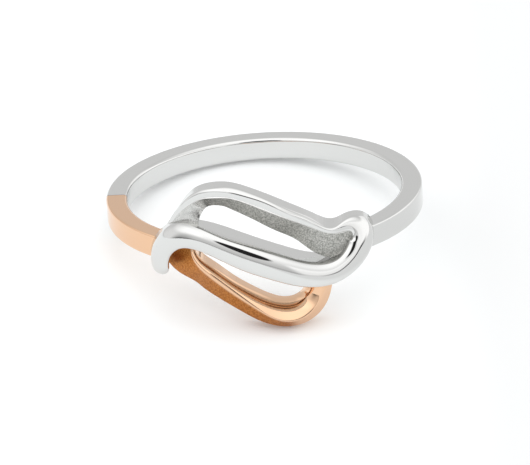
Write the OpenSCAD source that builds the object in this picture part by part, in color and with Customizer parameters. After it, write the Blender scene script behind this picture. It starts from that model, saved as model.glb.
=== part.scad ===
/* [Band] */
// Diameter of the finger hole
finger_d = 17.3; // [16.8:0.1:17.8]
// Radial thickness of the plain band
band_t = 1.32; // [1.1:0.01:1.36]
// Width of the plain band, along the finger
band_w = 1.46; // [1.2:0.02:1.6]
// Width of the broken edge of the band
band_edge = 0.1; // [0.05:0.01:0.2]
// Angle from the front to the seam of the two metals, round the left side
seam_turn = 91; // [80:1:120]

/* [Ornament] */
// Height of the back of the ornament over the wall of the finger hole
back_h = 0.3; // [0.1:0.05:0.35]
// Rounding of the crossing rail's upper edge
rail_round = 0.5; // [0.3:0.05:0.55]
// Rounding of the crossing rail's lower edge
rail_foot_round = 0.22; // [0.1:0.01:0.3]
// Height of the crown over the crossing rail's face
rail_crown = 0.06; // [0.02:0.01:0.1]
// Rounding of the ridge along the top of each leaf
ridge_round = 0.18; // [0.1:0.01:0.25]
// Gap between the two metals
metal_gap = 0.03; // [0.02:0.01:0.06]

/* [Rest] */
// Angle by which the ring leans to its left side as it lies
lean = 3.4; // [0:0.1:5]

/* [Smoothness] */
// Sections between two rows of a table
steps = 5; // [3:1:6]

/* [Hidden] */
PLATINUM = [0.84, 0.85, 0.86];
ROSE_GOLD = [0.86, 0.61, 0.44];
finger_r = finger_d / 2;
band_r = finger_r + band_t;
band_sides = 180;
// Where the band ends under the ornament, as angles from the front
right_band_turn = 33;
left_band_turn = 38;

// The columns that both tables start with: a place as it is seen from the front
X = 0;
Z = 1;

// The crossing rail. It starts at the tip of the left curl, crosses the front and ends over the
// right knuckle. Its x and z are those of its middle line, and then come its half width to the
// left of the way that it runs, its half width to the right, and the height of its face and of
// its back over the wall of the finger hole.
LEFT = 2;
RIGHT = 3;
FACE = 4;
BACK = 5;
RAIL = [
    [-6.42, -1.34, 0.24, 0.24, 2.07, 1.41],
    [-6.47, -1.12, 0.46, 0.46, 2.33, 1.41],
    [-6.52, -0.60, 0.56, 0.56, 2.43, 1.41],
    [-6.45,  0.10, 0.58, 0.60, 2.47, 1.41],
    [-6.05,  0.92, 0.55, 0.66, 2.51, 1.41],
    [-5.30,  1.50, 0.70, 0.72, 2.51, 1.41],
    [-4.30,  1.55, 0.76, 0.72, 2.51, 0.95],
    [-3.00,  1.14, 0.72, 0.72, 2.51, back_h],
    [-1.17,  0.38, 0.82, 0.84, 2.51, back_h],
    [ 0.86, -0.43, 0.79, 0.84, 2.51, back_h],
    [ 2.87, -1.08, 0.66, 0.84, 2.51, back_h],
    [ 4.15, -1.18, 0.64, 0.76, 2.51, back_h],
    [ 5.15, -0.80, 0.66, 0.74, 2.51, back_h],
    [ 5.85, -0.10, 0.62, 0.76, 2.51, 0.45],
    [ 6.08,  0.50, 0.58, 0.72, 2.47, 0.65],
    [ 5.95,  1.00, 0.48, 0.62, 2.35, 0.75],
    [ 5.58,  1.32, 0.36, 0.46, 2.18, 0.75],
    [ 5.08,  1.34, 0.26, 0.30, 1.98, 0.65],
    [ 4.55,  1.16, 0.18, 0.20, 1.72, 0.55],
];

// The two leaves. Their x and z are those of the top edge, and then come the width of the polished
// ridge, the whole width, and the height of the ridge, of the foot of the bevel and of the back.
RIDGE = 2;
WHOLE = 3;
TOP = 4;
FOOT = 5;
REAR = 6;
UPPER_LEAF = [
    [-6.00, 1.75, 0.50, 1.10, 1.90, 1.65, 1.41],
    [-5.40, 2.60, 0.55, 1.30, 1.92, 1.45, 1.05],
    [-4.85, 3.34, 0.58, 1.24, 1.92, 1.25, 0.65],
    [-4.04, 4.15, 0.60, 1.17, 1.92, 1.10, back_h],
    [-2.97, 4.60, 0.60, 1.28, 1.92, 1.05, back_h],
    [-1.98, 4.67, 0.62, 1.46, 1.92, 1.05, back_h],
    [-0.88, 4.37, 0.60, 1.58, 1.92, 1.05, back_h],
    [ 0.13, 3.93, 0.56, 1.66, 1.92, 1.05, back_h],
    [ 1.74, 3.05, 0.60, 1.76, 1.92, 1.05, back_h],
    [ 3.23, 2.09, 0.48, 1.86, 1.92, 1.05, back_h],
    [ 4.43, 1.50, 0.34, 2.05, 1.95, 1.05, back_h],
    [ 5.40, 1.50, 0.30, 2.10, 1.95, 1.05, back_h],
];
LOWER_LEAF = [
    [-7.00,  0.68, 0.30, 1.36, 1.25, 1.25, back_h],
    [-6.00,  0.64, 0.30, 1.78, 1.30, 1.25, back_h],
    [-5.15,  0.42, 0.30, 1.86, 1.33, 1.20, back_h],
    [-4.42, -0.06, 0.30, 1.55, 1.35, 1.17, back_h],
    [-3.22, -0.87, 0.32, 1.32, 1.55, 1.20, back_h],
    [-1.95, -1.53, 0.34, 1.26, 2.25, 1.40, back_h],
    [-0.61, -2.38, 0.38, 1.28, 2.47, 1.55, back_h],
    [ 0.77, -3.07, 0.46, 1.45, 2.50, 1.65, back_h],
    [ 1.45, -3.23, 0.60, 1.44, 2.50, 1.70, back_h],
    [ 2.10, -3.08, 0.70, 1.40, 2.50, 1.75, back_h],
    [ 2.60, -2.56, 0.70, 1.34, 2.45, 1.75, back_h],
    [ 2.83, -1.90, 0.70, 1.28, 2.35, 1.85, back_h],
    [ 2.90, -1.20, 0.70, 1.24, 2.25, 1.85, back_h],
];
// The largest share of the rail's width that its upper rounding takes
fullest_round = 0.45;
// Width of the fold between a leaf's ridge and its bevel, and the share of the bevel's fall in it
fold_w = 0.12;
fold_fall = 0.06;
// Broken edge at the foot of a leaf's bevel
foot_edge = 0.08;
// Faces round each corner of a section
rail_corner_faces = 4;
foot_corner_faces = 3;
ridge_corner_faces = 3;
// The steepest that the front can lie, and how often the search for its angle is halved
steepest = 25;
halvings = 12;

// A smooth curve through four rows of a table, between the second and the third
function blend_rows(a, b, c, d, t) =
    (2 * b + (c - a) * t + (2 * a - 5 * b + 4 * c - d) * t * t
        + (3 * b - 3 * c + d - a) * t * t * t) / 2;
// The row at a place, with the table's ends carried on in line
function row(table, i) =
    i < 0 ? 2 * table[0] - table[1]
    : i >= len(table) ? 2 * table[len(table) - 1] - table[len(table) - 2]
    : table[i];
// Every row of a table with the rows that lie between them on the smooth curve
function smooth_rows(table) = [
    for (i = [0:len(table) - 2])
        for (j = [0:steps - (i == len(table) - 2 ? 0 : 1)])
            blend_rows(row(table, i - 1), row(table, i), row(table, i + 1), row(table, i + 2), j / steps)
];
// The way that a list of rows runs at a place, of length 1
function way(rows, i) =
    let (a = rows[max(i - 1, 0)], b = rows[min(i + 1, len(rows) - 1)])
    let (d = [b[X] - a[X], b[Z] - a[Z]])
    d / norm(d);
// A rounded corner of a section, from one angle to another: distance across, and height
function corner(across, height, round, from, to, faces) = [
    for (k = [0:faces])
        let (turn = from + (to - from) * k / faces)
        [across + round * cos(turn), height + round * sin(turn)]
];
// A section of the crossing rail: distance to the left of its middle line, and height
function rail_section(r, grow) =
    let (left = r[LEFT] + grow, right = r[RIGHT] + grow, face = r[FACE] + grow, back = r[BACK] - grow)
    let (round = min(rail_round, (left + right) * fullest_round), shoulder = face - rail_crown)
    concat(
        [[left, back]],
        corner(left - round, shoulder - round, round, 0, 90, rail_corner_faces),
        [[(left - right) / 2, face]],
        corner(rail_foot_round - right, shoulder - rail_foot_round, rail_foot_round, 90, 180, foot_corner_faces),
        [[-right, back]]
    );
// A section of a leaf: wall, ridge, and the bevel that falls to its foot
function leaf_section(r, grow) =
    let (top = r[TOP] + grow, foot = r[FOOT] + grow, rear = r[REAR] - grow, whole = r[WHOLE] + grow)
    let (broken = min(foot_edge, (foot - rear) / 2))
    concat(
        [[grow, rear]],
        corner(grow - ridge_round, top - ridge_round, ridge_round, 0, 90, ridge_corner_faces),
        [
            [-r[RIDGE], top],
            [-r[RIDGE] - fold_w, top - (top - foot) * fold_fall],
            [broken - whole, foot],
            [-whole, foot - broken],
            [-whole, rear],
        ]
    );
// A point of the front view set at its height over the wall of the finger hole
function on_ring(x, z, height) = [x, -sqrt(pow(finger_r + height, 2) - x * x), z];
// One section stood on its row
function stand(rows, i, section) =
    let (w = way(rows, i))
    [for (s = section) on_ring(rows[i][X] - w[1] * s[0], rows[i][Z] + w[0] * s[0], s[1])];
// All the sections of the rail, and of a leaf
function rail_sections(grow) =
    let (rows = smooth_rows(RAIL))
    [for (i = [0:len(rows) - 1]) stand(rows, i, rail_section(rows[i], grow))];
function leaf_sections(table, grow) =
    let (rows = smooth_rows(table))
    [for (i = [0:len(rows) - 1]) stand(rows, i, leaf_section(rows[i], grow))];

// A closed solid through a list of sections that all have as many points
module skin(sections) {
    across = len(sections[0]);
    last = len(sections) - 1;
    polyhedron(
        points = [for (s = sections) each s],
        faces = concat(
            [[for (k = [0:across - 1]) k]],
            [
                for (i = [0:last - 1])
                    for (k = [0:across - 1])
                        let (a = i * across + k, b = i * across + (k + 1) % across)
                        each [[a, a + across, b], [b, a + across, b + across]]
            ],
            [[for (k = [across - 1:-1:0]) last * across + k]]
        )
    );
}
module rail(grow = 0) {
    skin(rail_sections(grow));
}
module leaf(table, grow = 0) {
    skin(leaf_sections(table, grow));
}
// The plain band between two angles, counted from the front towards the right
module band(from, to) {
    half = band_w / 2;
    rotate([0, 0, from - 90])
        rotate_extrude(angle = to - from, $fn = band_sides)
            polygon([
                [finger_r, -half + band_edge],
                [finger_r + band_edge, -half],
                [band_r - band_edge, -half],
                [band_r, -half + band_edge],
                [band_r, half - band_edge],
                [band_r - band_edge, half],
                [finger_r + band_edge, half],
                [finger_r, half - band_edge],
            ]);
}

// The floor's upward direction in the ring's own frame, when the front is raised by an angle
function upward(tilt) = [sin(lean) * cos(tilt), -sin(tilt), cos(lean) * cos(tilt)];
// The height of the lowest point of the lower leaf, and of the back of the band
function leaf_height(tilt) =
    min([for (section = leaf_sections(LOWER_LEAF, 0)) for (point = section) point * upward(tilt)]);
function band_height(tilt) =
    let (u = upward(tilt))
    -(band_r - band_edge) * norm([u[0], u[1]]) - band_w / 2 * u[2];
// The angle at which both rest on the floor, found by halving
function settle(low, high, left) =
    let (middle = (low + high) / 2)
    left == 0 ? middle
    : leaf_height(middle) < band_height(middle) ? settle(middle, high, left - 1)
    : settle(low, middle, left - 1);
rest_tilt = settle(0, steepest, halvings);

// Turns the ring from its own frame to the way it lies on the floor
module at_rest() {
    rotate([-rest_tilt, 0, 0]) rotate([0, -lean, 0]) children();
}

// The grey metal: most of the band, the crossing rail and the upper leaf
module platinum_ring() {
    color(PLATINUM) at_rest() union() {
        band(right_band_turn, 360 - seam_turn);
        rail();
        leaf(UPPER_LEAF);
    }
}

// The pink metal: the front left of the band and the lower leaf, cut clear of the grey metal
module rose_gold_leaf() {
    gap_turn = metal_gap / finger_r * 180 / PI;
    color(ROSE_GOLD) at_rest() union() {
        band(-seam_turn + gap_turn, -left_band_turn);
        difference() {
            leaf(LOWER_LEAF);
            rail(metal_gap);
            leaf(UPPER_LEAF, metal_gap);
        }
    }
}

platinum_ring();
rose_gold_leaf();
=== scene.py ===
import bpy
import numpy as np
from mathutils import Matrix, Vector


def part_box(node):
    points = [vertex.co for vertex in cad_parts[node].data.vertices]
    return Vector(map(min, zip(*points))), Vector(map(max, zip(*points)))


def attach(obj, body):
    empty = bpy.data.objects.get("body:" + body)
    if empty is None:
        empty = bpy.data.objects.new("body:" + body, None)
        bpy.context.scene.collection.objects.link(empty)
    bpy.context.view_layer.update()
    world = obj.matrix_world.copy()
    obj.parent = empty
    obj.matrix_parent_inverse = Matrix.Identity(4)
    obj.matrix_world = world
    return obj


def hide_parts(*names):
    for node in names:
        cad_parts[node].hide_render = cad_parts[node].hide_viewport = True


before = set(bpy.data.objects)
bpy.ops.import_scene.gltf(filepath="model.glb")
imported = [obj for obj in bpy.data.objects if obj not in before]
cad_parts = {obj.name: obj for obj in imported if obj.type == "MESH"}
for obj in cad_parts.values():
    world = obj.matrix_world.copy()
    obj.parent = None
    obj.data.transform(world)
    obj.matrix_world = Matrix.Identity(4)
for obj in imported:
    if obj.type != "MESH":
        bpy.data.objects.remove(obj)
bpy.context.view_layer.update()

# Lengths are in millimetres, turns in degrees. The shapes are drawn on the upright ring: x to the right,
# z up, and the ornament in front, towards minus y. Heights are measured outwards from the finger hole's
# wall. A way is the path that a rail or a leaf follows in the front view.
MM = 0.001
X, Z = 0, 1

# How the ring lies on its side
LEAN = 3.4
TILT = 11.3922
FLOOR_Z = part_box("rose_gold_leaf")[0].z / MM

# The band: the finger hole's radius, the thickness and width, the rounding of the edges, the turns from
# the front to the metals' seam and to the band's two ends under the ornament, and the seam's gap
HOLE_R = 8.65
BAND_T = 1.32
BAND_W = 1.46
INNER_EDGE = 0.24
OUTER_EDGE = 0.15
SEAM_TURN = 91
RIGHT_BAND_TURN = 33
LEFT_BAND_TURN = 38
METAL_GAP = 0.03

# The ornament: height of its back, number of places along each table's spline, distance between sections,
# and width of the window that eases the tables
BACK_H = 0.3
SPLINE_POINTS = 4000
SECTION_STEP = 0.06
EASING = 0.25

# The crossing rail from the curl's tip to the saddle beside the knuckle. Columns: centre x and z, half
# width on the left and on the right of the way, height of the face and of the back, then the radius of the
# left shoulder beside its wall, at its bend and beside the face, and the same of the right shoulder.
RAIL = [
    [-6.45, -1.36, 0.56, 0.54, 2.30, 1.41, 0.50, 0.45, 1.08, 0.50, 0.40, 0.48],
    [-6.52, -0.60, 0.56, 0.56, 2.43, 1.41, 0.50, 0.45, 1.08, 0.50, 0.40, 0.48],
    [-6.45, 0.10, 0.58, 0.60, 2.47, 1.41, 0.60, 0.55, 1.00, 0.45, 0.40, 0.48],
    [-6.05, 0.92, 0.55, 0.66, 2.51, 1.41, 0.40, 0.70, 1.00, 0.30, 0.30, 0.36],
    [-5.30, 1.50, 0.70, 0.72, 2.51, 1.41, 0.40, 0.78, 1.20, 0.18, 0.22, 0.26],
    [-4.30, 1.55, 0.74, 0.72, 2.51, 0.95, 0.60, 0.75, 1.05, 0.12, 0.20, 0.24],
    [-3.00, 1.14, 0.72, 0.72, 2.51, BACK_H, 1.60, 0.46, 1.20, 0.10, 0.20, 0.24],
    [-1.17, 0.38, 0.82, 0.84, 2.51, BACK_H, 2.00, 0.46, 1.30, 0.10, 0.20, 0.24],
    [0.86, -0.43, 0.79, 0.84, 2.51, BACK_H, 1.30, 0.46, 1.20, 0.10, 0.20, 0.24],
    [2.87, -1.08, 0.66, 0.84, 2.51, BACK_H, 0.80, 0.48, 1.10, 0.12, 0.20, 0.24],
    [4.15, -1.18, 0.66, 0.76, 2.51, BACK_H, 0.70, 0.50, 1.20, 0.20, 0.22, 0.26],
    [5.15, -0.80, 0.72, 0.74, 2.51, BACK_H, 0.70, 0.60, 1.40, 0.30, 0.26, 0.31],
    [5.85, -0.10, 0.95, 0.76, 2.49, 0.80, 1.30, 1.15, 1.15, 0.50, 0.32, 0.40],
    [6.10, 0.50, 1.05, 0.72, 2.40, 0.95, 1.30, 1.15, 1.10, 0.55, 0.34, 0.44],
    [5.95, 1.02, 0.84, 0.69, 2.24, 1.10, 0.90, 0.80, 0.80, 0.65, 0.38, 0.46],
    [5.55, 1.36, 0.36, 0.68, 2.06, 1.05, 0.16, 0.20, 0.48, 0.70, 0.30, 0.36],
    [5.05, 1.42, 0.27, 0.44, 1.92, 0.75, 0.10, 0.10, 0.24, 0.60, 0.22, 0.26],
]

# The upper leaf. Columns: x and z of the top edge, width of the ridge and of the whole leaf, height of the
# ridge, of the bevel's foot and of the back, then the radius of the ridge's outer shoulder.
UPPER_LEAF = [
    [-6.00, 1.75, 0.34, 1.30, 1.50, 1.50, 1.41, 0.05],
    [-5.45, 2.67, 0.36, 1.75, 1.50, 1.50, 1.38, 0.06],
    [-5.12, 3.15, 0.42, 1.45, 1.50, 1.30, 1.22, 0.10],
    [-4.75, 3.62, 0.48, 1.30, 1.50, 1.15, 0.96, 0.12],
    [-4.04, 4.25, 0.54, 1.25, 1.50, 1.00, 0.55, 0.18],
    [-2.97, 4.60, 0.66, 1.28, 1.50, 1.00, BACK_H, 0.26],
    [-1.98, 4.67, 0.70, 1.46, 1.50, 1.00, BACK_H, 0.43],
    [-0.88, 4.37, 0.70, 1.58, 1.50, 1.00, BACK_H, 0.43],
    [0.13, 3.93, 0.71, 1.66, 1.52, 1.00, BACK_H, 0.30],
    [1.74, 3.05, 0.60, 1.76, 1.68, 0.95, BACK_H, 0.30],
    [3.23, 2.09, 0.50, 1.78, 1.58, 0.95, BACK_H, 0.22],
    [4.43, 1.50, 0.40, 2.05, 1.90, 1.55, BACK_H, 0.14],
    [5.40, 1.50, 0.36, 2.10, 1.98, 1.80, BACK_H, 0.30],
]

# The lower leaf. Columns: x and z of the top edge, width of the whole leaf, height of the ridge, of the
# bevel's foot and of the back, then the radius of the ridge beside the top wall, at its bend and beside
# the bevel.
LOWER_LEAF = [
    [-4.24, 1.05, 1.45, 1.05, 1.00, BACK_H, 0.25, 0.12, 0.12],
    [-4.32, 0.70, 1.70, 1.35, 1.15, BACK_H, 0.30, 0.14, 0.14],
    [-4.29, 0.34, 2.22, 1.60, 1.17, BACK_H, 0.45, 0.18, 0.18],
    [-4.10, 0.00, 2.02, 1.76, 1.15, BACK_H, 0.60, 0.20, 0.20],
    [-3.76, -0.30, 1.64, 1.86, 1.17, BACK_H, 0.75, 0.22, 0.22],
    [-3.24, -0.62, 1.64, 1.95, 1.20, BACK_H, 0.90, 0.24, 0.24],
    [-2.11, -1.45, 1.54, 1.90, 1.35, BACK_H, 1.05, 0.26, 0.26],
    [-0.74, -2.30, 1.50, 1.98, 1.45, BACK_H, 1.50, 0.60, 0.16],
    [0.16, -2.79, 1.52, 2.05, 1.50, BACK_H, 1.65, 1.20, 0.10],
    [1.08, -3.09, 1.53, 2.08, 1.52, BACK_H, 1.75, 2.00, 0.08],
    [1.70, -3.05, 1.58, 2.08, 1.52, BACK_H, 1.75, 2.30, 0.08],
    [2.21, -2.73, 1.60, 2.06, 1.54, BACK_H, 1.65, 2.25, 0.10],
    [2.52, -2.20, 1.52, 2.05, 1.60, BACK_H, 1.45, 1.75, 0.25],
    [2.68, -1.70, 1.44, 2.10, 1.70, BACK_H, 1.20, 1.05, 0.55],
    [2.74, -1.20, 1.40, 2.14, 1.75, BACK_H, 1.15, 0.90, 0.70],
]

# Turn of the crown's middle to the left of the way, on the crossing rail and on the upper leaf's ridge
RAIL_LEAN = -6.0
RIDGE_LEAN = 13.0

# The turns of the normal over which a rail's shoulder changes its radius, from the wall's to the bend's
# and from the bend's to the face's, the turn that softens the change from the left shoulder to the right
# one, half the turn of the crown between them, and the most of the width that both shoulders may take
WALL_TO_BEND = (69, 79)
BEND_TO_FACE = (14, 38)
SIDE_BLEND = 4.0
CROWN_SPREAD = 11.0
MOST_OF_WIDTH = 0.85

# The same two spans of turns on the lower leaf's ridge, the rough reach across of each of its three radii,
# in radii, and the radius of its toe
RIDGE_WALL_TO_BEND = (42, 56)
RIDGE_BEND_TO_BEVEL = (27, 37)
RIDGE_REACH = (0.25, 0.35, 0.8)
LOWER_TOE_R = 0.06

# The radii of the upper leaf's ridge on the side of the bevel, and beside its face on the outer side
RIDGE_INNER_R = 0.07
RIDGE_FACE_R = 0.10

# The curl's domed tip: its length, the shares of the width and of the face's height that are left at its
# very end, and the height over the back that stays as it is
TIP_LENGTH = 0.62
TIP_WIDTH = 0.01
TIP_FACE = 0.45
TIP_LEAST_H = 0.1

# The upper leaf's floor: how far it starts inside the ridge's edge and below its face, how much further in
# and up where it lies flush with it, the depth of its hidden corner, how far its back stays off the back of
# the ridge, and the radius of its toe
FLOOR_OVERLAP = 0.05
FLOOR_SINK = 0.03
FLUSH_OVERLAP = 0.12
FLUSH_RISE = 0.034
HIDDEN_DEPTH = 0.25
BODY_INSET = 0.02
UPPER_TOE_R = 0.05

# Where along x the upper leaf's flat left end opens into the bevel, where its full satin starts and its
# share of satin before that, where the lower leaf's satin ends, and where across its ridge's edge it rises
BEVEL_OPENS = (-5.30, -4.40)
SATIN_STARTS = (-3.15, -2.90)
SMOOTH_BEVEL = 0.50
SATIN_ENDS = (1.1, 2.1)
SATIN_RISES = (-0.02, 0.04)

# Places along a wall, a bevel, a back and a band's flat, with a holding ring close to an end that turns,
# the numbers of points round a crown, a ridge, a toe and the band's edge, and the turn past which two
# faces meet in a sharp edge
WALL_PLACES = np.array([0.0, 0.02, 0.25, 0.5, 0.75, 0.98])
BEVEL_PLACES = np.array([0.02, 0.15, 0.3, 0.45, 0.6, 0.75, 0.9, 0.98])
BACK_PLACES = np.linspace(0, 1, 6)[1:-1]
FLAT_PLACES = np.array([[0.02], [0.5], [0.98]])
CROWN_POINTS = 91
RIDGE_POINTS = 80
TOE_POINTS = 6
EDGE_POINTS = 11
SHARP_TURN = 38


def step_up(values, low, high):
    """0 below low, 1 above high, and a smooth rise between them."""
    t = np.clip((values - low) / (high - low), 0, 1)
    return t * t * (3 - 2 * t)


def spline(rows, places):
    """A natural cubic spline through the table's rows, parametrised by chord length in the front view: the
    second derivatives solve a tridiagonal system, and each place from 0 to 1 is blended from the two rows
    beside it."""
    rows = np.asarray(rows, float)
    chord = np.hypot(*np.diff(rows[:, [X, Z]], axis=0).T)
    knots = np.concatenate([[0.0], np.cumsum(chord)])
    count = len(rows)
    system = np.eye(count)
    slopes = np.zeros_like(rows)
    inner = np.arange(1, count - 1)
    system[inner, inner - 1] = chord[:-1]
    system[inner, inner] = 2 * (chord[:-1] + chord[1:])
    system[inner, inner + 1] = chord[1:]
    rise = np.diff(rows, axis=0) / chord[:, None]
    slopes[1:-1] = 6 * np.diff(rise, axis=0)
    bend = np.linalg.solve(system, slopes)
    at = np.asarray(places) * knots[-1]
    i = np.clip(np.searchsorted(knots, at, side="right") - 1, 0, count - 2)
    span = chord[i][:, None]
    left = (knots[i + 1] - at)[:, None]
    right = (at - knots[i])[:, None]
    return (
        (bend[i] * left**3 + bend[i + 1] * right**3) / (6 * span)
        + (rows[i] / span - bend[i] * span / 6) * left
        + (rows[i + 1] / span - bend[i + 1] * span / 6) * right
    )


def run_along(rows):
    """The distance along the way in the front view from the first row to each row."""
    return np.concatenate([[0.0], np.cumsum(np.hypot(*np.diff(rows[:, [X, Z]], axis=0).T))])


def sections(rows):
    """The table's rows as evenly spaced sections: the spline is sampled at equal arc lengths, then each
    column is averaged along the way with a Gaussian window, mirrored at both ends so that they stay in
    place."""
    fine = spline(rows, np.linspace(0, 1, SPLINE_POINTS))
    run = run_along(fine)
    count = int(run[-1] / SECTION_STEP) + 1
    even = np.stack([np.interp(np.linspace(0, run[-1], count), run, column) for column in fine.T], 1)
    reach = int(4 * EASING / SECTION_STEP)
    window = np.exp(-0.5 * (np.arange(-reach, reach + 1) * SECTION_STEP / EASING) ** 2)
    window /= window.sum()
    padded = np.pad(even, ((reach, reach), (0, 0)), mode="reflect", reflect_type="odd")
    return np.stack([np.convolve(column, window, mode="valid") for column in padded.T], 1)


def ways(rows):
    """Unit directions of the way in the front view, by central differences."""
    step = np.gradient(rows[:, [X, Z]], axis=0)
    return step / np.linalg.norm(step, axis=1, keepdims=True)


def on_ring(x, z, height):
    """Points at x and z in the front view, on the round wall at a height over the finger hole."""
    return np.stack([x, -np.sqrt((HOLE_R + height) ** 2 - x**2), z], -1)


def stand(rows, across, height):
    """A grid of points: each section's profile stands across the way, and distances to the left of it count
    as positive."""
    way = ways(rows)
    x = rows[:, [X]] - way[:, [1]] * across
    z = rows[:, [Z]] + way[:, [0]] * across
    return on_ring(x, z, height)


def lay_down(points):
    """The upright ring's points as it lies: leaned about y by LEAN, then turned back about x by TILT."""
    lean, tilt = np.radians(LEAN), np.radians(TILT)
    x = np.cos(lean) * points[..., 0] - np.sin(lean) * points[..., 2]
    up = np.sin(lean) * points[..., 0] + np.cos(lean) * points[..., 2]
    y = np.cos(tilt) * points[..., 1] + np.sin(tilt) * up
    z = np.cos(tilt) * up - np.sin(tilt) * points[..., 1]
    return np.stack([x, y, z], -1)


def columns(rows):
    """The columns of a table of sections, each n by 1."""
    return [rows[:, [n]] for n in range(rows.shape[1])]


def arc_chain(turns, radii):
    """A profile from its radius of curvature at each turn of its normal: the distances across and the
    heights are the running sums of radius times cosine, and of radius times sine, of the turn."""
    step = -np.diff(turns, axis=-1)
    middle = (turns[..., 1:] + turns[..., :-1]) / 2
    mean = (radii[..., 1:] + radii[..., :-1]) / 2
    start = np.zeros(mean.shape[:-1] + (1,))
    across = np.concatenate([start, -np.cumsum(mean * np.cos(middle) * step, axis=-1)], -1)
    height = np.concatenate([start, np.cumsum(mean * np.sin(middle) * step, axis=-1)], -1)
    return across, height


def crowned(turns, left_shoulder, right_shoulder, width, middle):
    """Radii of curvature of a crowned profile. Each shoulder has three: beside its wall, at its bend and
    beside the face, blended over the turns of WALL_TO_BEND and BEND_TO_FACE. Both shoulders are scaled down
    where they would take up more than MOST_OF_WIDTH. A flat crown about the middle turn fills up the
    rest."""
    degrees = np.degrees(turns)
    side = 1 / (1 + np.exp(-(degrees - middle) / SIDE_BLEND))
    beside_wall = step_up(np.abs(degrees), *WALL_TO_BEND)
    beside_face = 1 - step_up(np.abs(degrees), *BEND_TO_FACE)

    def shoulder_of(radii):
        at_wall, at_bend, at_face = radii
        return at_bend + (at_wall - at_bend) * beside_wall + (at_face - at_bend) * beside_face

    shoulder = shoulder_of(left_shoulder) * side + shoulder_of(right_shoulder) * (1 - side)
    crown = 1 / (1 + np.abs((degrees - middle) / CROWN_SPREAD) ** 4) + 0 * shoulder
    weight = -np.cos((turns[..., 1:] + turns[..., :-1]) / 2) * np.diff(turns, axis=-1)

    def reach(radii):
        return ((radii[..., 1:] + radii[..., :-1]) / 2 * weight).sum(-1, keepdims=True)

    shoulder = shoulder * np.minimum(1, MOST_OF_WIDTH * width / reach(shoulder))
    return shoulder + crown * (width - reach(shoulder)) / reach(crown)


def bar_profile(left, right, face, back, left_shoulder, right_shoulder, lean):
    """A rail's closed profile: left wall, shoulder, crown, shoulder, right wall, back."""
    turns = np.radians(np.linspace(90, -90, CROWN_POINTS))[None, :] + 0 * left
    across, height = arc_chain(turns, crowned(turns, left_shoulder, right_shoulder, left + right, lean))
    across = left + across
    height = face + height - height.max(-1, keepdims=True)
    left_wall = back + (height[:, :1] - back) * WALL_PLACES
    right_wall = back + (height[:, -1:] - back) * WALL_PLACES[::-1]
    inside = -right + (left + right) * BACK_PLACES
    across = np.concatenate([left + 0 * left_wall, across, -right + 0 * right_wall, inside], 1)
    height = np.concatenate([left_wall, height, right_wall, back + 0 * inside], 1)
    return across, height


def toe(whole, foot, slope, radius):
    """The small rounding at a bevel's foot, from the bevel's own slope to the wall."""
    turns = -slope - (np.pi / 2 - slope) * np.linspace(0, 1, TOE_POINTS)[None, :]
    across = -whole + radius * (1 + np.sin(turns))
    height = foot + radius * (np.cos(turns) - np.cos(slope))
    return across, height


def lower_leaf_profile(whole, top, foot, back, at_wall, at_bend, at_bevel):
    """The lower leaf's closed profile: top wall, rounded ridge, straight bevel, toe, wall and back. The
    ridge turns as far as the slope of a bevel from its rough reach across to the foot."""
    reach = RIDGE_REACH[0] * at_wall + RIDGE_REACH[1] * at_bend + RIDGE_REACH[2] * at_bevel
    slope = np.arctan2(top - foot, whole - reach)
    turns = np.pi / 2 - (np.pi / 2 + slope) * np.linspace(0, 1, RIDGE_POINTS)[None, :]
    degrees = np.degrees(turns)
    radii = at_bevel + (at_bend - at_bevel) * step_up(degrees, *RIDGE_BEND_TO_BEVEL)
    radii = radii + (at_wall - at_bend) * step_up(degrees, *RIDGE_WALL_TO_BEND)
    across, height = arc_chain(turns, radii)
    height = top + height - height.max(-1, keepdims=True)
    ridge = -across[:, -1:]
    top_wall = back + (height[:, :1] - back) * WALL_PLACES
    slope = np.arctan2(height[:, -1:] - foot, whole - ridge)
    toe_across, toe_height = toe(whole, foot, slope, LOWER_TOE_R)
    bevel_across = across[:, -1:] + (toe_across[:, :1] - across[:, -1:]) * BEVEL_PLACES
    bevel_height = height[:, -1:] + (toe_height[:, :1] - height[:, -1:]) * BEVEL_PLACES
    foot_wall = back + (toe_height[:, -1:] - back) * WALL_PLACES[::-1]
    inside = -whole * (1 - BACK_PLACES)
    across = np.concatenate(
        [0 * top_wall, across, bevel_across, toe_across, -whole + 0 * foot_wall, inside], 1
    )
    height = np.concatenate([top_wall, height, bevel_height, toe_height, foot_wall, back + 0 * inside], 1)
    return across, height, ridge


def floor_profile(ridge, whole, top, foot, back, flush):
    """The body under the upper leaf's ridge: it starts inside the ridge and shows its bevel, toe and wall.
    Where flush is 1 it starts over the ridge's face instead, so that the two faces are one."""
    start_across = FLOOR_OVERLAP - ridge + FLUSH_OVERLAP * flush
    start_height = top - FLOOR_SINK + FLUSH_RISE * flush
    low = back + BODY_INSET
    slope = np.arctan2(start_height - foot, start_across + whole)
    toe_across, toe_height = toe(whole, foot, slope, UPPER_TOE_R)
    bevel_across = start_across + (toe_across[:, :1] - start_across) * BEVEL_PLACES
    bevel_height = start_height + (toe_height[:, :1] - start_height) * BEVEL_PLACES
    foot_wall = low + (toe_height[:, -1:] - low) * WALL_PLACES[::-1]
    hidden_across = np.concatenate([-ridge / 2, -ridge / 2, start_across], 1)
    hidden_height = np.concatenate([low, top - HIDDEN_DEPTH, start_height], 1)
    across = np.concatenate([hidden_across, bevel_across, toe_across, -whole + 0 * foot_wall], 1)
    height = np.concatenate([hidden_height, bevel_height, toe_height, foot_wall], 1)
    on_bevel = np.concatenate(
        [0 * hidden_height, np.ones_like(bevel_height), np.ones_like(toe_height), 0 * foot_wall], 1
    )
    return across, height, on_bevel


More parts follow.
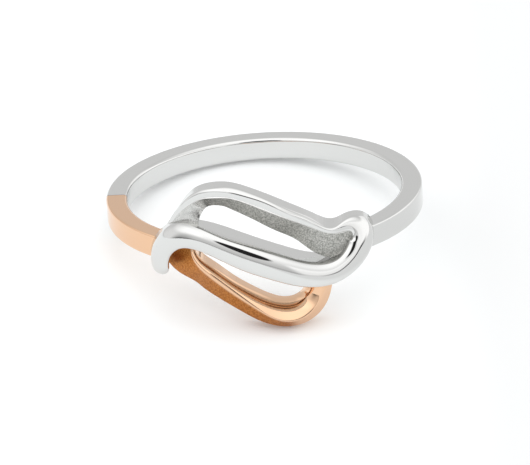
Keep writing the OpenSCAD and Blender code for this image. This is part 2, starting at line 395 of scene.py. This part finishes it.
def closed_mesh(name, points):
    """A mesh from a grid of closed profiles: quads between them, and a fan to the middle of each end
    profile. The faces are turned outwards by the sign of the enclosed volume."""
    count, around = points.shape[:2]
    i, j = np.meshgrid(np.arange(count - 1), np.arange(around), indexing="ij")
    k = (j + 1) % around
    quads = np.stack([i * around + j, (i + 1) * around + j, (i + 1) * around + k, i * around + k], -1)
    quads = quads.reshape(-1, 4)
    rim = np.arange(around)
    after = (rim + 1) % around
    last = (count - 1) * around
    first_middle, last_middle = count * around, count * around + 1
    caps = np.concatenate([
        np.stack([rim, after, np.full(around, first_middle)], 1),
        np.stack([last + after, last + rim, np.full(around, last_middle)], 1),
    ])
    vertices = np.concatenate([points.reshape(-1, 3), [points[0].mean(0)], [points[-1].mean(0)]])
    a, b, c, d = (vertices[quads[:, n]] for n in range(4))
    volume = np.einsum("ij,ij->", a, np.cross(b, c)) + np.einsum("ij,ij->", a, np.cross(c, d))
    a, b, c = (vertices[caps[:, n]] for n in range(3))
    volume += np.einsum("ij,ij->", a, np.cross(b, c))
    if volume < 0:
        quads = quads[:, ::-1]
        caps = caps[:, ::-1]
    mesh = bpy.data.meshes.new(name)
    mesh.from_pydata((vertices * MM).tolist(), [], quads.tolist() + caps.tolist())
    mesh.shade_smooth()
    mesh.set_sharp_from_angle(angle=np.radians(SHARP_TURN))
    return mesh


def add_piece(name, points, satin, material, solid):
    """A finished piece of the ring, which takes the place of a solid's own mesh: satin is each grid point's
    share of satin finish, from 0 to 1."""
    mesh = closed_mesh(name, lay_down(points))
    share = np.concatenate([np.broadcast_to(satin, points.shape[:2]).ravel(), [0.0, 0.0]])
    mesh.attributes.new("satin", "FLOAT", "POINT").data.foreach_set("value", share.astype(np.float32))
    mesh.materials.append(material)
    piece = bpy.data.objects.new(name, mesh)
    bpy.context.scene.collection.objects.link(piece)
    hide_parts(solid)
    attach(piece, "root")
    return piece


def scroll():
    """The curl, the crossing rail, the knuckle and the upper leaf's ridge as one strand. The curl's tip is
    domed: its width grows as a quarter of an ellipse over TIP_LENGTH, and its face rises with it."""
    leaf = np.array(UPPER_LEAF)
    way = ways(leaf)
    _, _, ridge, _, top, _, back, shoulder = leaf.T
    half = ridge / 2
    inner = [0 * half + RIDGE_INNER_R] * 3
    outer = [shoulder, shoulder, 0 * half + RIDGE_FACE_R]
    x, z = leaf[:, X] + way[:, 1] * half, leaf[:, Z] - way[:, 0] * half
    ridge_rows = np.stack([x, z, half, half, top, back] + inner + outer + [0 * half + RIDGE_LEAN], 1)
    rail_rows = np.column_stack([RAIL, np.full(len(RAIL), RAIL_LEAN)])
    rows = sections(np.vstack([rail_rows, ridge_rows[::-1][1:]]))
    tip = np.clip(run_along(rows) / TIP_LENGTH, 0, 1)[:, None]
    dome = np.sqrt(np.clip(1 - (1 - tip) ** 2, TIP_WIDTH**2, 1))
    _, _, left, right, face, back, *shoulders, lean = columns(rows)
    low = back + TIP_LEAST_H
    face = low + (face - low) * (TIP_FACE + (1 - TIP_FACE) * dome)
    across, height = bar_profile(left * dome, right * dome, face, back, shoulders[:3], shoulders[3:], lean)
    return stand(rows, across, height)


def upper_leaf_floor():
    """The satin bevel of the upper leaf with its body: points and their share of satin."""
    rows = sections(UPPER_LEAF)
    x, _, ridge, whole, top, foot, back, _ = columns(rows)
    open_end = step_up(x, *BEVEL_OPENS)
    foot = top + (foot - top) * open_end
    across, height, on_bevel = floor_profile(ridge, whole, top, foot, back, 1 - open_end)
    points = stand(rows, across, height)
    full = step_up(points[..., 0], *SATIN_STARTS)
    return points, on_bevel * (SMOOTH_BEVEL + (1 - SMOOTH_BEVEL) * full)


def lower_leaf():
    """The lower leaf's loop: points and their share of satin, which lies on the bevel and fades to the
    right."""
    rows = sections(LOWER_LEAF)
    across, height, ridge = lower_leaf_profile(*columns(rows)[2:])
    points = stand(rows, across, height)
    on_bevel = step_up(-across - ridge, *SATIN_RISES)
    return points, on_bevel * (1 - step_up(points[..., 0], *SATIN_ENDS))


def band(start, end):
    """The band between two turns, counted from the front towards the right: a rectangle with rounded edges,
    a section at each degree."""
    turn = np.radians(np.linspace(start, end, int(abs(end - start)) + 1))[:, None]
    inner, outer = HOLE_R + INNER_EDGE, HOLE_R + BAND_T - OUTER_EDGE
    inner_side, outer_side = BAND_W / 2 - INNER_EDGE, BAND_W / 2 - OUTER_EDGE
    quarter = np.radians(np.linspace(0, 90, EDGE_POINTS))
    corners = [
        (outer, outer_side, 0, OUTER_EDGE),
        (inner, inner_side, 90, INNER_EDGE),
        (inner, -inner_side, 180, INNER_EDGE),
        (outer, -outer_side, 270, OUTER_EDGE),
    ]
    arcs = [
        np.stack([
            radius + edge * np.cos(np.radians(first) + quarter),
            height + edge * np.sin(np.radians(first) + quarter),
        ], 1)
        for radius, height, first, edge in corners
    ]
    flats = [arc[-1] + (after[0] - arc[-1]) * FLAT_PLACES for arc, after in zip(arcs, arcs[1:] + arcs[:1])]
    loop = np.concatenate([part for pair in zip(arcs, flats) for part in pair])
    radius, height = loop[:, 0], loop[:, 1]
    return np.stack([radius * np.sin(turn), -radius * np.cos(turn), height + 0 * turn], -1)


def node(tree, kind, inputs=None, **settings):
    """A shader node with its settings, and its inputs set to values or linked to other nodes' sockets."""
    new = tree.nodes.new("ShaderNode" + kind)
    for key, value in settings.items():
        setattr(new, key, value)
    for key, value in (inputs or {}).items():
        if isinstance(value, bpy.types.NodeSocket):
            tree.links.new(value, new.inputs[key])
        else:
            new.inputs[key].default_value = value
    return new


def noise(tree, place, grain, detail=3.0, roughness=0.5):
    """Noise whose features are about the grain's size in millimetres."""
    inputs = {"Vector": place, "Scale": 1 / (grain * MM), "Detail": detail, "Roughness": roughness}
    return node(tree, "TexNoise", inputs).outputs["Fac"]


def ramp(tree, value, low, high, to_low, to_high):
    """A value's range carried to another range, with smooth ends."""
    inputs = {"Value": value, "From Min": low, "From Max": high, "To Min": to_low, "To Max": to_high}
    return node(tree, "MapRange", inputs, interpolation_type="SMOOTHSTEP").outputs["Result"]


def maths(tree, operation, *values):
    """The result of a maths node."""
    return node(tree, "Math", dict(enumerate(values)), operation=operation).outputs[0]


# A mix node's sockets for colours, by number, because it has others of the same names
MIX_SHARE, MIX_FIRST, MIX_SECOND = 0, 6, 7
MIX_RESULT = 2


def mixed(tree, share, first, second):
    """A colour between two colours."""
    inputs = {MIX_SHARE: share, MIX_FIRST: first, MIX_SECOND: second}
    return node(tree, "Mix", inputs, data_type="RGBA").outputs[MIX_RESULT]


# The metals: size of the polish's clouds, size, depth and strength of the satin's grain and of the wear,
# then the spans that carry the grain to a share of the lighter tone and the clouds to a roughness
CLOUD_SIZE = 2.5
GRAIN_SIZE = 0.10
GRAIN_DEPTH = 0.04
GRAIN_STRENGTH = 0.55
WEAR_SIZE = 0.06
WEAR_DEPTH = 0.01
WEAR_STRENGTH = 0.03
GRAIN_TONES = (0.35, 0.65, 0.0, 1.0)
POLISH_ROUGHNESS = (0.3, 0.7, 0.035, 0.075)
SATIN_ROUGHNESS = 0.34


def metal(name, polished, satin, satin_dark):
    """A ring metal: mirror polish with faint wear, and satin with a fine grain where the piece's attribute
    asks for it."""
    material = bpy.data.materials.new(name)
    material.use_nodes = True
    tree = material.node_tree
    tree.nodes.clear()
    place = node(tree, "TexCoord").outputs["Object"]
    share = node(tree, "Attribute", attribute_name="satin").outputs["Fac"]
    grain = noise(tree, place, GRAIN_SIZE, detail=2.0, roughness=0.7)
    satin_colour = mixed(tree, ramp(tree, grain, *GRAIN_TONES), satin_dark, satin)
    colour = mixed(tree, share, polished, satin_colour)
    polish = ramp(tree, noise(tree, place, CLOUD_SIZE), *POLISH_ROUGHNESS)
    roughness = node(tree, "MapRange", {"Value": share, "To Min": polish, "To Max": SATIN_ROUGHNESS})
    grain_strength = ramp(tree, share, 0.0, 1.0, 0.0, GRAIN_STRENGTH)
    grain_bump = node(
        tree, "Bump", {"Height": grain, "Strength": grain_strength, "Distance": GRAIN_DEPTH * MM}
    )
    wear_bump = node(tree, "Bump", {
        "Height": noise(tree, place, WEAR_SIZE, detail=2.0),
        "Strength": WEAR_STRENGTH,
        "Distance": WEAR_DEPTH * MM,
        "Normal": grain_bump.outputs["Normal"],
    })
    shader = node(tree, "BsdfPrincipled", {
        "Base Color": colour,
        "Metallic": 1.0,
        "Roughness": roughness.outputs["Result"],
        "Normal": wear_bump.outputs["Normal"],
    })
    node(tree, "OutputMaterial", {"Surface": shader.outputs["BSDF"]})
    return material


platinum = metal(
    "platinum",
    polished=(0.67, 0.67, 0.66, 1),
    satin=(0.56, 0.55, 0.525, 1),
    satin_dark=(0.27, 0.275, 0.255, 1),
)
rose_gold = metal(
    "rose_gold",
    polished=(0.79, 0.515, 0.335, 1),
    satin=(0.55, 0.225, 0.058, 1),
    satin_dark=(0.34, 0.112, 0.02, 1),
)

platinum_pieces = {
    "platinum_band": (band(RIGHT_BAND_TURN, 360 - SEAM_TURN), 0.0),
    "platinum_scroll": (scroll(), 0.0),
    "platinum_leaf_floor": upper_leaf_floor(),
}
gap_turn = np.degrees(METAL_GAP / (HOLE_R + BAND_T / 2))
rose_gold_pieces = {
    "rose_gold_band": (band(-SEAM_TURN + gap_turn, -LEFT_BAND_TURN), 0.0),
    "rose_gold_leaf_loop": lower_leaf(),
}
for name, (points, satin) in platinum_pieces.items():
    add_piece(name, points, satin, platinum, "platinum_ring")
for name, (points, satin) in rose_gold_pieces.items():
    add_piece(name, points, satin, rose_gold, "rose_gold_leaf")


# The floor, in metres: its reach, its tone near the ring, and the spans over which painted shade makes it
# greyer behind the ring and to its right, so that the ring's walls reflect it darker there
FLOOR_REACH = 2.0
FLOOR_POINTS = 96
NEAR_TONE = (0.875, 0.893, 0.899, 1)
PAINTED_SHADE_TONE = (0.58, 0.58, 0.58, 1)
PAINTED_SHADE_BEHIND = (0.03, 0.09, 0.0, 1.0)
PAINTED_SHADE_TO_RIGHT = (0.007, 0.015, 0.0, 0.50)
FLOOR_ROUGHNESS = 0.7
FLOOR_GLOW = 0.13


def lay_floor():
    """A pale floor, large enough to be every low reflection's ground, with painted shade that makes it
    greyer behind the ring and to its right. It glows faintly, so that the shadows stay light."""
    mesh = bpy.data.meshes.new("floor")
    around = np.radians(np.linspace(0, 360, FLOOR_POINTS, endpoint=False))
    x, y = FLOOR_REACH * np.cos(around), FLOOR_REACH * np.sin(around)
    rim = np.stack([x, y, 0 * around + FLOOR_Z * MM], 1)
    mesh.from_pydata(rim.tolist(), [], [list(range(FLOOR_POINTS))])
    material = bpy.data.materials.new("pale_floor")
    material.use_nodes = True
    tree = material.node_tree
    shader = tree.nodes["Principled BSDF"]
    place = node(tree, "SeparateXYZ", {"Vector": node(tree, "TexCoord").outputs["Object"]}).outputs
    # Painted shade: the floor turns greyer behind the ring and to its right, which darkens its reflections
    # in the ring
    behind = ramp(tree, place["Y"], *PAINTED_SHADE_BEHIND)
    to_right = ramp(tree, place["X"], *PAINTED_SHADE_TO_RIGHT)
    share = maths(tree, "MAXIMUM", behind, to_right)
    tree.links.new(mixed(tree, share, NEAR_TONE, PAINTED_SHADE_TONE), shader.inputs["Base Color"])
    shader.inputs["Roughness"].default_value = FLOOR_ROUGHNESS
    shader.inputs["Specular IOR Level"].default_value = 0.0
    shader.inputs["Emission Color"].default_value = (1, 1, 1, 1)
    shader.inputs["Emission Strength"].default_value = FLOOR_GLOW
    mesh.materials.append(material)
    floor = bpy.data.objects.new("floor", mesh)
    bpy.context.scene.collection.objects.link(floor)


# The camera: its height over the floor in degrees, its distance, the focal length in pixels of a picture
# that is 530 wide, the place it looks at, and the nearest and farthest that it sees, in metres
CAMERA_UP = 32.78
CAMERA_AWAY = 398.7
FOCAL_PIXELS = 6322.7
PICTURE_WIDE = 530
SENSOR_WIDE = 36.0
AIM = (0.0195, -1.161, -1.803)
NEAREST = 0.01
FARTHEST = 10


def set_camera():
    """The camera in front of the ring, looking down at it."""
    data = bpy.data.cameras.new("camera")
    data.sensor_width = SENSOR_WIDE
    data.lens = FOCAL_PIXELS / PICTURE_WIDE * SENSOR_WIDE
    data.clip_start = NEAREST
    data.clip_end = FARTHEST
    camera = bpy.data.objects.new("camera", data)
    up = np.radians(CAMERA_UP)
    place = Vector((0, -np.cos(up), np.sin(up))) * CAMERA_AWAY
    camera.location = place * MM
    camera.rotation_euler = (Vector(AIM) - place).to_track_quat("-Z", "Y").to_euler()
    bpy.context.scene.collection.objects.link(camera)
    bpy.context.scene.camera = camera


# The studio's dome. A place on it is a unit direction: x to the right, y away behind the ring, z up. A
# span is a range of a value and what its two ends are carried to. The overhead light is brightest in its
# own direction, the sides are measured by the square of x, and the two glows by x and z.
OVERHEAD_WAY = (0, -0.26, 0.966)
OVERHEAD = (0.40, 1.0, 0.0, 0.71)
SIDES = (0.3, 0.9, 0.79, 1.01)
LOW_RIGHT_X = (0.38, 0.50, 0.0, 0.45)
LOW_RIGHT_Z = (0.38, 0.55, 1.0, 0.0)
HIGH_LEFT_X = (-0.60, -0.30, 0.30, 0.0)
HIGH_LEFT_Z = (0.35, 0.60, 0.0, 1.0)

# What darkens the dome's front: a line low on the left and on the right, and a fall towards the floor,
# which is deeper at the far left
FRONT = (-0.5, -0.1, 1.0, 0.0)
LEFT_LINE_X = (-0.85, -0.62, 0.06, 0.8)
LEFT_LINE_Z = (0.02, 0.07, 0.0, 1.0)
RIGHT_LINE_X = (0.56, 0.72, 0.8, 0.06)
RIGHT_LINE_Z = (0.04, 0.13, 0.0, 1.0)
FAR_LEFT_FALL = (0.0, 0.55, 0.45, 1.0)
FALL = (0.0, 0.45, 0.97, 1.0)
FAR_LEFT_ENDS = (-0.86, -0.62, 0.0, 1.0)

# The dark patch round the camera: its middle in x and z, its half width and half height, its soft edge in
# parts of them, and the span of y past which there is none
PATCH_X, PATCH_Z = 0.01, 0.54
PATCH_WIDE, PATCH_HIGH = 0.30, 0.20
PATCH_EDGE = (0.85, 1.1, 0.02, 1.0)
BEHIND = (-0.1, 0.0, 0.0, 1.0)


def light_studio():
    """A bright soft dome: white overhead, light grey round the ring and lighter at the sides, with a glow
    low on the right and high on the left, a dark line low in front on either side, and one dark patch
    round the camera."""
    world = bpy.data.worlds.new("studio")
    bpy.context.scene.world = world
    world.use_nodes = True
    tree = world.node_tree
    tree.nodes.clear()
    way_vector = node(tree, "TexCoord").outputs["Generated"]
    way = node(tree, "SeparateXYZ", {"Vector": way_vector}).outputs

    def along(axis, span):
        return ramp(tree, way[axis], *span)

    def result(operation, *values):
        return maths(tree, operation, *values)

    def between(first, second, share):
        first_part = result("MULTIPLY", first, result("SUBTRACT", 1.0, share))
        return result("ADD", first_part, result("MULTIPLY", second, share))

    def square(value):
        return result("MULTIPLY", value, value)

    overhead = node(tree, "VectorMath", {0: way_vector, 1: OVERHEAD_WAY}, operation="DOT_PRODUCT")
    overhead_light = ramp(tree, overhead.outputs["Value"], *OVERHEAD)
    room = result("ADD", ramp(tree, square(way["X"]), *SIDES), overhead_light)
    room = result("ADD", room, result("MULTIPLY", along("X", LOW_RIGHT_X), along("Z", LOW_RIGHT_Z)))
    room = result("ADD", room, result("MULTIPLY", along("X", HIGH_LEFT_X), along("Z", HIGH_LEFT_Z)))

    left_line = result("MAXIMUM", along("Z", LEFT_LINE_Z), along("X", LEFT_LINE_X))
    right_line = result("MAXIMUM", along("Z", RIGHT_LINE_Z), along("X", RIGHT_LINE_X))
    fall = between(along("Z", FAR_LEFT_FALL), along("Z", FALL), along("X", FAR_LEFT_ENDS))
    front = result("MULTIPLY", result("MINIMUM", left_line, right_line), fall)
    sky = result("MULTIPLY", room, between(1.0, front, along("Y", FRONT)))

    patch_x = result("DIVIDE", result("SUBTRACT", way["X"], PATCH_X), PATCH_WIDE)
    patch_z = result("DIVIDE", result("SUBTRACT", way["Z"], PATCH_Z), PATCH_HIGH)
    from_patch = result("SQRT", result("ADD", square(patch_x), square(patch_z)))
    clear = result("MAXIMUM", ramp(tree, from_patch, *PATCH_EDGE), along("Y", BEHIND))
    strength = result("MULTIPLY", sky, clear)
    background = node(tree, "Background", {"Color": (1, 1, 1, 1), "Strength": strength})
    node(tree, "OutputWorld", {"Surface": background.outputs["Background"]})


lay_floor()
set_camera()
light_studio()
bpy.context.scene.view_settings.view_transform = "Standard"
